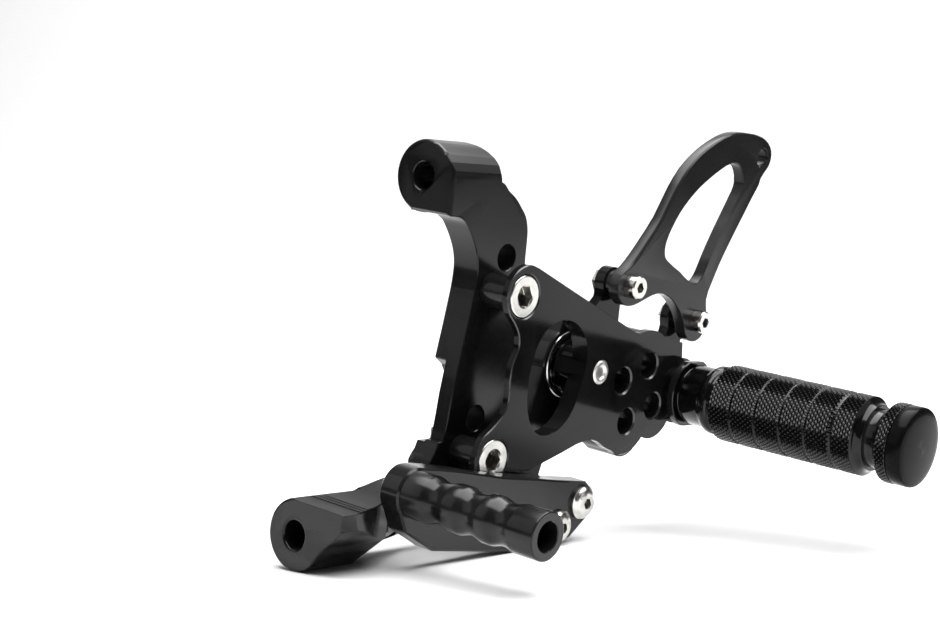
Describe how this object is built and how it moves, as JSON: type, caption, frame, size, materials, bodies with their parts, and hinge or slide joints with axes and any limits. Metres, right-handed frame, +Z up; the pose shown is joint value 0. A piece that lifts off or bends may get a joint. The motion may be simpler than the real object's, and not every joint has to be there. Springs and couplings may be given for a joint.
{
  "type": "motorcycle rear set footrest",
  "caption": "Left-hand motorcycle rear set: frame bracket, outer plate with peg positions, knurled foot peg, shift lever with toe peg, slotted heel guard.",
  "frame": {"origin": "centre of the upper frame boss's front face, on the axis of its bolt bore", "axes": "+X forward along the two frame bolt axes, +Y outboard along the foot peg, +Z up"},
  "size_m": [0.1944, 0.1273, 0.1352],
  "materials": {
    "black_anodised": "black anodised, semi-gloss",
    "knurled_black": "black anodised, knurled",
    "screw_steel": "stainless, machined",
    "bearing_steel": "ground bearing steel",
    "cap_black": "black, smooth"
  },
  "bodies": {
    "frame": {"frame_bracket": "black_anodised", "spacer_upper": "black_anodised", "spacer_lower": "black_anodised", "outer_plate": "black_anodised", "pivot_spacer": "black_anodised", "heel_guard": "black_anodised", "guard_spacer_front": "black_anodised", "guard_spacer_rear": "black_anodised", "peg_base": "black_anodised", "peg_grip": "knurled_black", "peg_lock_ring": "knurled_black", "plate_screw_upper": "screw_steel", "plate_screw_lower": "screw_steel", "pivot_bolt": "screw_steel", "pivot_washer": "screw_steel", "guard_screw_front": "screw_steel", "guard_screw_rear": "screw_steel", "guard_nut_front": "screw_steel", "guard_nut_rear": "screw_steel", "peg_mount_screw": "screw_steel", "bearing_inner": "bearing_steel", "bearing_cage": "bearing_steel", "peg_end_cap": "cap_black"},
    "lever": {"shift_lever": "black_anodised", "toe_plate": "black_anodised", "toe_screw_rear": "screw_steel", "toe_screw_front": "screw_steel", "toe_peg": "knurled_black", "toe_peg_screw": "screw_steel", "bearing_outer": "bearing_steel", "bearing_shield": "bearing_steel"}
  },
  "joints": [
    {"name": "shift_lever_pivot", "type": "hinge", "parent": "frame", "child": "lever", "pos_m": [-0.065, 0.0079, -0.0566], "axis": [0, 1, 0], "range_deg": [-6, 8]}
  ]
}
